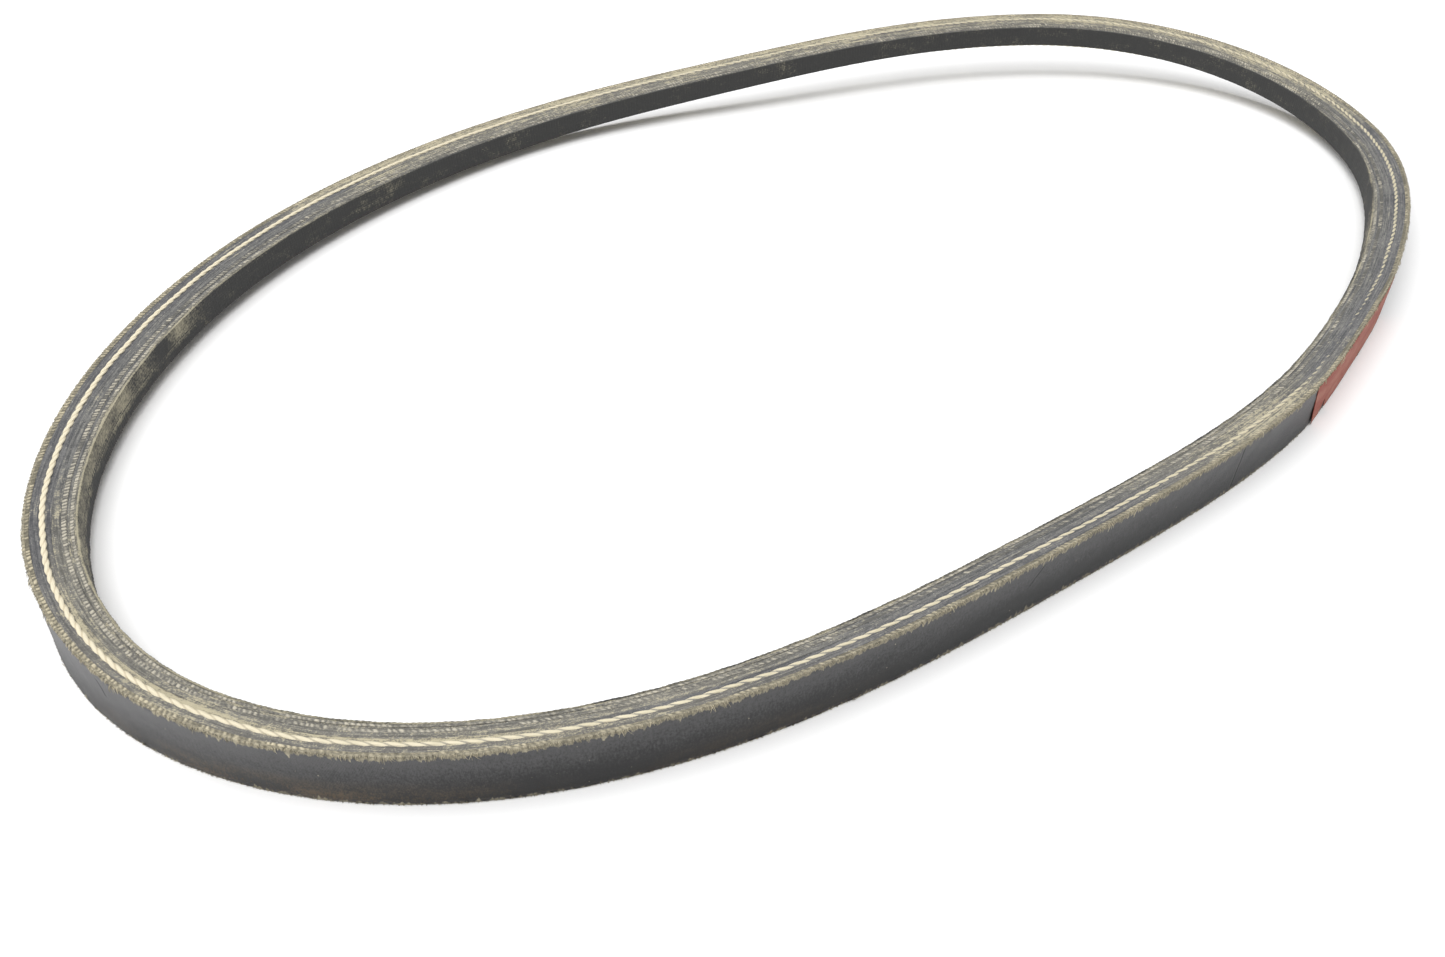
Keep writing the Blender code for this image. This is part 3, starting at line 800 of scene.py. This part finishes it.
chance = np.random.default_rng(121)
upper = np.arange(WISPS_UPPER + WISPS_LOWER)[:, None] < WISPS_UPPER
tuft = np.concatenate([np.repeat(np.arange(THREADS), TUFT_ENDS), np.repeat(np.arange(THREADS), LOWER_TUFT_ENDS)])[:, None]
wisp_run = (tuft / THREADS * LOOP_LENGTH + chance.normal(0, 0.3, upper.shape) * MM) % LOOP_LENGTH
bunch = np.clip(0.65 + 0.6 * ripple(wisp_run.ravel(), 0, 40, 260, 123), 0.3, 1.3)[:, None]
tuft_long = chance.gamma(2, 0.5, (2, THREADS))[np.where(upper, 0, 1), tuft]
wisp_long = chance.uniform(0.25, 1, upper.shape) * tuft_long * bunch * np.where(upper, 0.75, 0.5) * MM
wisp_long = np.clip(wisp_long, 0.1 * MM, 1.4 * MM)
wisp_lean = chance.normal(0.15, 0.45, upper.shape)
wisp_out = chance.uniform(0.08, 0.35, upper.shape)
wisp_thick = chance.uniform(0.05, 0.11, upper.shape) * MM
wisp_start = chance.uniform(0.02, 0.4, upper.shape) * MM
side = np.where(upper, 1, -1)
reach = flat[:, :, 2]
bend = reach ** 1.4
run = wisp_run + wisp_long * wisp_lean * bend + wisp_thick * flat[:, :, 0]
out = wisp_long * wisp_out * np.sin(reach * 2.2) + wisp_thick * (flat[:, :, 1] + 1.2 * reach)
depth = wisp_start * (1 - reach) ** 2 - out
height = side * (half_width(wisp_start) + 0.1 * MM * np.sin(reach * 3) - wisp_long * bend)
fringe_mesh.vertices.foreach_set("co", lay_down(run.ravel(), depth.ravel(), height.ravel()).ravel())
paleness = np.broadcast_to(chance.uniform(0.1, 1, upper.shape) * np.where(upper, 1, 0.85), reach.shape)
fringe_mesh.attributes.new("pale", "FLOAT", "POINT").data.foreach_set("value", paleness.astype(np.float32).ravel())
wisps = bmesh.new()
wisps.from_mesh(fringe_mesh)
bmesh.ops.recalc_face_normals(wisps, faces=wisps.faces)
wisps.to_mesh(fringe_mesh)
wisps.free()
fringe_mesh.shade_smooth()
frayed_ends = bpy.data.objects.new("frayed_ends", fringe_mesh)
bpy.context.scene.collection.objects.link(frayed_ends)
finish, tree, shader = new_finish("frayed_cotton", 0.9, 0.15)
place = tree.nodes.new("ShaderNodeTexCoord").outputs["Object"]
grime = mottle(tree, place, (400, 400, 400), 3, 0.6)
pale = sums(tree, "MULTIPLY_ADD", grime, 0.8, sums(tree, "SUBTRACT", read_mark(tree, "pale").outputs["Fac"], 0.4))
put(tree, shader.inputs["Base Color"], tint(tree, between(tree, pale, 0.0, 0.9), THREAD_DIRTY, THREAD_TAN))
bump(tree, shader, grime, 0.02 * MM)
frayed_ends.data.materials.append(finish)
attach(frayed_ends, "root")

# Table: a wide white board that the belt lies on, lit evenly so that only the belt's soft shadow shows.

board = bmesh.new()
bmesh.ops.create_circle(board, cap_ends=True, segments=64, radius=4)
bmesh.ops.translate(board, verts=board.verts, vec=(0, 0, -0.1 * MM))
board_mesh = bpy.data.meshes.new("white_table")
board.to_mesh(board_mesh)
board.free()
white_table = bpy.data.objects.new("white_table", board_mesh)
bpy.context.scene.collection.objects.link(white_table)
TABLE_WHITE = (0.97, 0.97, 0.97, 1)
TABLE_GLOW = 0.03
GLOW_FROM = 200 * MM
GLOW_FULL = 800 * MM


def seen_directly(tree):
    """1 for rays that show the background itself or its reflection, 0 for light on the object."""
    path = tree.nodes.new("ShaderNodeLightPath")
    seen = sums(tree, "MAXIMUM", path.outputs["Is Camera Ray"], path.outputs["Is Glossy Ray"])
    return sums(tree, "MAXIMUM", seen, path.outputs["Is Transmission Ray"])


finish, tree, shader = new_finish("white_board", 0.9, 0.0)
shader.inputs["Base Color"].default_value = TABLE_WHITE
shader.inputs["Emission Strength"].default_value = 1
away = tree.nodes.new("ShaderNodeVectorMath")
away.operation = "LENGTH"
put(tree, away.inputs[0], tree.nodes.new("ShaderNodeTexCoord").outputs["Object"])
glow = sums(tree, "ADD", between(tree, away.outputs["Value"], GLOW_FROM, GLOW_FULL), TABLE_GLOW)
glow = sums(tree, "MULTIPLY", seen_directly(tree), glow)
put(tree, shader.inputs["Emission Color"], tint(tree, glow, (0, 0, 0, 1), (1, 1, 1, 1)))
white_table.data.materials.append(finish)

# Light: an even white room with one soft lamp high above the belt, a little to its left.

ROOM_LEVEL = 0.27
LAMP_POWER = 23.6
world = bpy.data.worlds.new("white_room")
bpy.context.scene.world = world
world.use_nodes = True
tree = world.node_tree
room = tree.nodes["Background"]
room.inputs["Color"].default_value = (1, 1, 1, 1)
put(tree, room.inputs["Strength"], sums(tree, "MULTIPLY_ADD", seen_directly(tree), 1 - ROOM_LEVEL, ROOM_LEVEL))
lamp_light = bpy.data.lights.new("soft_lamp", "AREA")
lamp_light.shape = "DISK"
lamp_light.size = 2.0
lamp_light.energy = LAMP_POWER
lamp = bpy.data.objects.new("soft_lamp", lamp_light)
lamp.location = (-0.28, 0.04, 1.0)
lamp.rotation_euler = (Vector((0, 0, 0)) - lamp.location).to_track_quat("-Z", "Y").to_euler()
bpy.context.scene.collection.objects.link(lamp)

# Camera: close over the belt's near left, tilted a little, so that the near side looms large.

CAMERA_PLACE = Vector((-225.88, -218.4, 159.48)) * MM
CAMERA_TARGET = Vector((-95.56, -62.96, 0)) * MM
CAMERA_ROLL = math.radians(-1.015)
camera_lens = bpy.data.cameras.new("camera")
camera_lens.sensor_fit = "HORIZONTAL"
camera_lens.sensor_width = 36
camera_lens.lens = 27.507
camera_lens.clip_start = 0.01
camera = bpy.data.objects.new("camera", camera_lens)
sight = (CAMERA_TARGET - CAMERA_PLACE).normalized()
level = sight.cross(Vector((0, 0, 1))).normalized()
upright = level.cross(sight)
across = math.cos(CAMERA_ROLL) * level + math.sin(CAMERA_ROLL) * upright
upward = math.cos(CAMERA_ROLL) * upright - math.sin(CAMERA_ROLL) * level
camera.matrix_world = Matrix((across, upward, -sight)).transposed().to_4x4()
camera.location = CAMERA_PLACE
bpy.context.scene.collection.objects.link(camera)
bpy.context.scene.camera = camera
bpy.context.scene.view_settings.view_transform = "Standard"
